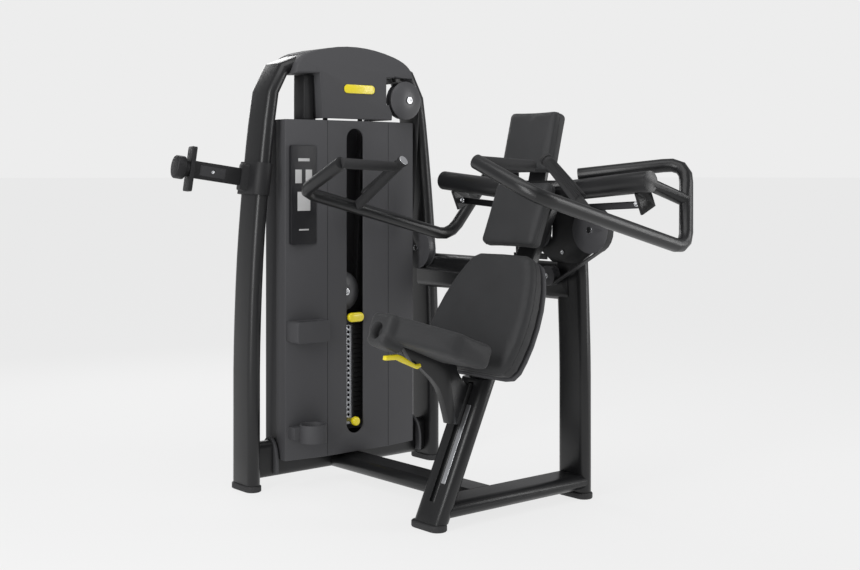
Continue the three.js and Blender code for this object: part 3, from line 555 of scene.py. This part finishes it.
class StageSettings(bpy.types.PropertyGroup):
    """Floor, lights and camera"""

    floor_color: FloatVectorProperty(name="Floor", description="Colour of the floor",
                                     default=(0.11, 0.11, 0.11), size=3, subtype="COLOR",
                                     min=0, max=1)
    floor_glow: FloatProperty(name="Floor glow",
                              description="Light the floor gives back by itself",
                              default=0.775, min=0, max=2)
    lens: FloatProperty(name="Lens", description="Focal length of the camera",
                        default=55.55, min=10, max=200, unit="CAMERA")


def finish_for(name, maker, *values):
    """A material of this name, made only if there is none yet.

    The CAD frame brings materials of its own, named after the record's slots. Known fault: for
    cover_plastic and pulley_plastic it gives back those plain ones, so maker isn't called.
    """
    return bpy.data.materials.get(name) or maker(name, *values)


def paint():
    return finish_for("satin_powder_coat", powder_coat,
                      bpy.context.scene.machine_paint.frame_color)


def cover():
    """The frame's own plain cover_plastic: see finish_for. cover_color doesn't reach it."""
    return finish_for("cover_plastic", grained_plastic,
                      bpy.context.scene.machine_paint.cover_color)


def accent():
    return finish_for("accent_plastic", glossy_plastic,
                      bpy.context.scene.machine_paint.accent_color)


def chrome():
    return finish_for("polished_bolt_steel", metal, (0.75, 0.76, 0.78), 0.14)


def hide():
    return finish_for("synthetic_leather", synthetic_leather,
                      bpy.context.scene.machine_pads.hide_color)


def painted_iron():
    return finish_for("painted_iron", cast_iron, (0.012, 0.012, 0.0125))


def dark_plastic():
    return finish_for("dark_plastic", grained_plastic, (0.012, 0.012, 0.013))


def foot_rubber():
    return finish_for("foot_rubber", rubber, (0.02, 0.02, 0.021))


# ---- operators ----


class MACHINE_OT_frame(bpy.types.Operator):
    """Paint the tubes of the frame"""

    bl_idname = "machine.frame"
    bl_label = "Frame"

    def execute(self, context):
        edge = context.scene.machine_paint.edge
        for node in ("tower_frame", "rear_post", "seat_post", "tower_crossbeam",
                     "seat_base_beam", "centre_base_beam", "upper_link_beam", "pivot_hub",
                     "pivot_bracket", "back_support"):
            rounded(node, paint(), "painted_frame", edge)
        black = foot_rubber()
        for number in range(1, 5):
            rounded(f"foot_pad_{number}", black, "black_rubber", 0.003)
        return {"FINISHED"}


class MACHINE_OT_covers(bpy.types.Operator):
    """Mould the tower's covers, the bottle holder and the hook"""

    bl_idname = "machine.covers"
    bl_label = "Covers"

    def execute(self, context):
        for node in ("shroud_front", "shroud_rear", "head_cover", "beam_collar_left",
                     "beam_collar_right", "lower_back_shell", "towel_hook_box",
                     "bottle_holder"):
            rounded(node, cover(), "cover_plastic", 0.002)
        rounded("crown_box", dark_plastic(), "cover_plastic", 0.004)
        rounded("badge_plate", accent(), "yellow_plastic", 0.0008)
        gap = finish_for("joint_shadow", grained_plastic, (0.006, 0.006, 0.006))
        low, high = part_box("shroud_front")
        for i, x in enumerate((267, 532)):
            slab(f"shroud_joint_{i + 1}", (at(x, 0, 0).x, low.y - 0.0001, (low.z + high.z) / 2),
                 (0.0016, 0.0006, high.z - low.z - 0.006), gap, "cover_plastic", "frame", 0.0002)
        return {"FINISHED"}


class MACHINE_OT_placard(bpy.types.Operator):
    """Set plain tiles into the placard"""

    bl_idname = "machine.placard"
    bl_label = "Placard"

    def execute(self, context):
        dark = finish_for("placard_film", grained_plastic, (0.012, 0.012, 0.014), 0.3)
        light = finish_for("placard_print", grained_plastic, (0.5, 0.5, 0.5), 0.5)
        rounded("instruction_placard", dark, "cover_plastic", 0.003)
        low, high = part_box("instruction_placard")
        middle = (low + high) / 2
        front = low.y - 0.0002
        for i, (x, z, width, height) in enumerate((
                (0, 0.118, 0.046, 0.010), (-0.022, 0.062, 0.026, 0.046),
                (0.020, 0.062, 0.026, 0.046), (0, -0.022, 0.052, 0.064),
                (0, -0.118, 0.040, 0.005))):
            slab(f"placard_tile_{i + 1}", (middle.x + x, front, middle.z + z),
                 (width, 0.0008, height), light, "cover_plastic", "frame", 0.0003)
        return {"FINISHED"}


class MACHINE_OT_stack(bpy.types.Operator):
    """Finish the weight stack, its pin and its guide rods"""

    bl_idname = "machine.stack"
    bl_label = "Weight stack"

    def execute(self, context):
        iron = painted_iron()
        bright = finish_for("brushed_rod_steel", metal, (0.45, 0.46, 0.48), 0.28, (1, 1, 0.02))
        rounded("weight_stack", iron, "stack_iron", 0.0008)
        rounded("head_plate", iron, "stack_iron", 0.0015)
        rounded("selector_stem", bright, "bright_steel", 0.0004)
        rounded("guide_rods", bright, "bright_steel", 0.0006)
        rounded("stack_bumper", foot_rubber(), "black_rubber", 0.002)
        rounded("selector_pin", accent(), "yellow_plastic", 0.0008)
        rounded("add_weight_lever", accent(), "yellow_plastic", 0.0015)
        return {"FINISHED"}


class MACHINE_OT_drive(bpy.types.Operator):
    """Finish the pulleys, their bolts and the belt"""

    bl_idname = "machine.drive"
    bl_label = "Pulleys and belt"

    def execute(self, context):
        # This gives the frame's own plain pulley_plastic: see finish_for.
        wheel = finish_for("pulley_plastic", grained_plastic, (0.03, 0.0305, 0.0325), 0.4)
        belt = finish_for("belt_rubber", woven_belt, (0.012, 0.012, 0.013))
        for node in ("stack_pulley", "corner_pulley", "tower_side_pulley", "near_press_pulley",
                     "far_press_pulley", "guide_pulley", "crown_pulley"):
            rounded(node, wheel, "pulley_plastic", 0.001, 30)
        rounded("drive_belt", belt, "black_rubber", 0.0005)
        hang_belt(belt)
        for node, radius in (("tower_side_pulley", 0.011), ("near_press_pulley", 0.011),
                             ("far_press_pulley", 0.011), ("guide_pulley", 0.008)):
            low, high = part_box(node)
            middle = (low + high) / 2
            socket_bolt(f"{node}_bolt", (low.x - 0.002, middle.y, middle.z), (-1, 0, 0),
                        radius, chrome(), body_holding(node))
        socket_bolt("bracket_bolt", at(729.5, -757, 800), (-1, 0, 0), 0.007, chrome(), "frame")
        for node in ("stack_pulley", "corner_pulley"):
            low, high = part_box(node)
            middle = (low + high) / 2
            socket_bolt(f"{node}_bolt", (middle.x, low.y - 0.002, middle.z), (0, -1, 0),
                        0.012, chrome(), body_holding(node))
        return {"FINISHED"}


class MACHINE_OT_arms(bpy.types.Operator):
    """Finish both press arms, their grips and their rods"""

    bl_idname = "machine.arms"
    bl_label = "Press arms"

    def execute(self, context):
        grip = finish_for("grip_rubber", rubber, (0.016, 0.016, 0.017))
        steel = finish_for("blackened_steel", metal, (0.05, 0.05, 0.053), 0.35)
        for side in ("left", "right"):
            rounded(f"press_arm_{side}", paint(), "painted_frame", 0.001)
            rounded(f"front_grip_{side}", grip, "black_rubber", 0.003)
            rounded(f"cross_grip_{side}", grip, "black_rubber", 0.003)
            rounded(f"tie_rod_{side}", steel, "dark_steel", 0.0008)
            body = f"arm_{side}"
            mirror = (lambda y: y) if side == "left" else (lambda y: 2 * SEAT_MIDDLE - y)
            tip = at(312, mirror(-1102), 1093)
            root = at(277, mirror(-1296), 962)
            along = (tip - root).normalized()
            round_bar(f"grip_cap_{side}", tip + along * 0.0095, tip + along * 0.0125, 0.0172,
                      chrome(), "bright_steel", body)
            fluted_sleeve(f"grip_ribs_{side}", root + along * 0.045, tip - along * 0.012,
                          0.0165, 22, grip, "black_rubber", body)
            low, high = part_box(f"tie_rod_{side}")
            outer = low.y if side == "left" else high.y
            facing = -1 if side == "left" else 1
            place = (low.x - 0.002, outer - facing * 0.014, low.z + 0.028)
            socket_bolt(f"clevis_bolt_{side}", place, (-1, 0, 0), 0.0085, chrome(), body, 0.005)
        return {"FINISHED"}


class MACHINE_OT_pads(bpy.types.Operator):
    """Stuff and sew the back pads and the seat"""

    bl_idname = "machine.pads"
    bl_label = "Pads"

    def execute(self, context):
        settings = context.scene.machine_pads
        across = Vector((0, 1, 0))
        for node, lean in PADS.items():
            pad = stuffed(node, f"{node}_cover", 0.99, settings.swell)
            finish_piece(pad, hide(), "upholstery", "frame", node)
            low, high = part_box(node)
            up = Vector((math.sin(lean), 0, math.cos(lean)))
            front = Vector((-math.cos(lean), 0, math.sin(lean)))
            points = welt_round(pad, (low + high) / 2, across, up, front * 0.004)
            ring_tube(f"{node}_welt", points, settings.welt, hide(), "upholstery", "frame")
        seat = stuffed("seat_cushion", "seat_cushion_cover", 0.985, settings.swell)
        hollow_nose(seat)
        finish_piece(seat, hide(), "upholstery", "seat", "seat_cushion")
        return {"FINISHED"}


class MACHINE_OT_seat(bpy.types.Operator):
    """Finish the seat's bracket, carriage, scale and lever"""

    bl_idname = "machine.seat"
    bl_label = "Seat parts"

    def execute(self, context):
        iron = painted_iron()
        silver = finish_for("scale_metal", metal, (0.55, 0.56, 0.58), 0.3, (0.05, 1, 0.05))
        rounded("seat_bracket", paint(), "painted_frame", 0.0015)
        rounded("seat_carriage", iron, "dark_steel", 0.0015)
        rounded("height_scale", silver, "bright_steel", 0.0004)
        rounded("seat_lever", accent(), "yellow_plastic", 0.002)
        out = POST_OUT.normalized()
        low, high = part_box("seat_carriage")
        middle = (low + high) / 2
        for i, reach in enumerate((-0.046, 0.046)):
            socket_bolt(f"carriage_bolt_{i + 1}", middle + POST_UP * reach + out * 0.0125,
                        out, 0.006, chrome(), "seat")
        return {"FINISHED"}


class MACHINE_OT_holder(bpy.types.Operator):
    """Finish the device holder on the tower's left leg"""

    bl_idname = "machine.holder"
    bl_label = "Device holder"

    def execute(self, context):
        for node in ("holder_clamp", "device_holder_arm", "device_holder_knob"):
            rounded(node, dark_plastic(), "cover_plastic", 0.0015)
        out = Vector((-0.966, 0.2, 0.15)).normalized()
        lean = math.atan2(0.15, 0.966)
        inset = finish_for("cover_inset", grained_plastic, (0.03, 0.03, 0.032))
        middle = at(30, 0, 1038) + out * 0.15
        side = out.cross(Vector((0, 0, 1))).normalized()
        facing = side if side.y < 0 else -side
        slab("holder_inset", middle + facing * 0.0092, (0.088, 0.0012, 0.034), inset,
             "cover_plastic", "frame", 0.0004, (0, lean, math.atan2(-0.2, 0.966)))
        socket_bolt("holder_bolt", middle + facing * 0.0105, facing, 0.0055, chrome(), "frame")
        return {"FINISHED"}


SOFT_BOXES = (
    # name, place, width, height, power: two upright boxes, one overhead and one behind
    ("left_box", (-3.0, -0.6, 1.7), 0.9, 2.6, 60),
    ("right_box", (2.8, -2.4, 1.7), 0.9, 2.6, 42),
    ("top_box", (-0.6, -0.4, 3.4), 2.6, 1.8, 28),
    ("back_box", (0.6, 3.2, 2.2), 1.6, 1.6, 36),
)


def light_studio(context):
    """Soft boxes round the machine, and a world that looks paler than it lights."""
    for name, place, width, height, power in SOFT_BOXES:
        bpy.ops.object.light_add(type="AREA", location=place)
        lamp = context.active_object
        lamp.name = name
        lamp.data.shape = "RECTANGLE"
        lamp.data.size = width
        lamp.data.size_y = height
        lamp.data.energy = power
        lamp.rotation_euler = (Vector(place) - MACHINE_MIDDLE).to_track_quat("Z", "Y").to_euler()
    world = bpy.data.worlds.new("studio")
    world.use_nodes = True
    tree = world.node_tree
    pale = tree.nodes["Background"]
    pale.inputs[0].default_value = BACKDROP
    dim = tree.nodes.new("ShaderNodeBackground")
    dim.inputs[0].default_value = SURROUNDINGS
    seen = tree.nodes.new("ShaderNodeLightPath")
    mix = tree.nodes.new("ShaderNodeMixShader")
    tree.links.new(seen.outputs["Is Camera Ray"], mix.inputs[0])
    tree.links.new(dim.outputs[0], mix.inputs[1])
    tree.links.new(pale.outputs[0], mix.inputs[2])
    tree.links.new(mix.outputs[0], tree.nodes["World Output"].inputs[0])
    context.scene.world = world
    context.scene.view_settings.view_transform = "Standard"


class MACHINE_OT_stage(bpy.types.Operator):
    """Lay the floor and set the lights and the camera"""

    bl_idname = "machine.stage"
    bl_label = "Stage"

    def execute(self, context):
        settings = context.scene.machine_stage
        bpy.ops.object.select_all(action="DESELECT")
        bpy.ops.mesh.primitive_plane_add(size=900, location=(0, 0, -0.0005))
        floor = context.active_object
        floor.name = "studio_floor"
        matte = Finish("studio_floor_paint")
        matte.set(Base_Color=(*settings.floor_color, 1), Roughness=1.0,
                  Emission_Color=(1, 1, 1, 1), Emission_Strength=settings.floor_glow,
                  Specular_IOR_Level=0.0)
        floor.data.materials.append(matte.material)
        light_studio(context)
        data = bpy.data.cameras.new("camera")
        data.lens = settings.lens
        data.sensor_width = 36
        data.shift_y = -0.128
        camera = bpy.data.objects.new("camera", data)
        context.scene.collection.objects.link(camera)
        camera.location = EYE
        camera.rotation_euler = (math.radians(90), 0, EYE_TURN)
        context.scene.camera = camera
        return {"FINISHED"}


class MACHINE_PT_panel(bpy.types.Panel):
    """The machine's parts, in the order in which they are made"""

    bl_label = "Shoulder press machine"
    bl_idname = "MACHINE_PT_panel"
    bl_space_type = "VIEW_3D"
    bl_region_type = "UI"
    bl_category = "Machine"

    def draw(self, context):
        for operator in OPERATORS:
            self.layout.operator(operator.bl_idname)


SETTINGS = (PaintSettings, PadSettings, StageSettings)
OPERATORS = (MACHINE_OT_frame, MACHINE_OT_covers, MACHINE_OT_placard, MACHINE_OT_stack,
             MACHINE_OT_drive, MACHINE_OT_arms, MACHINE_OT_pads, MACHINE_OT_seat,
             MACHINE_OT_holder, MACHINE_OT_stage)


def register():
    for cls in (*SETTINGS, *OPERATORS, MACHINE_PT_panel):
        bpy.utils.register_class(cls)
    bpy.types.Scene.machine_paint = PointerProperty(type=PaintSettings)
    bpy.types.Scene.machine_pads = PointerProperty(type=PadSettings)
    bpy.types.Scene.machine_stage = PointerProperty(type=StageSettings)


def unregister():
    del bpy.types.Scene.machine_stage
    del bpy.types.Scene.machine_pads
    del bpy.types.Scene.machine_paint
    for cls in reversed((*SETTINGS, *OPERATORS, MACHINE_PT_panel)):
        bpy.utils.unregister_class(cls)


def main():
    register()
    for operator in OPERATORS:
        group, name = operator.bl_idname.split(".")
        getattr(getattr(bpy.ops, group), name)()


if __name__ == "__main__":
    main()
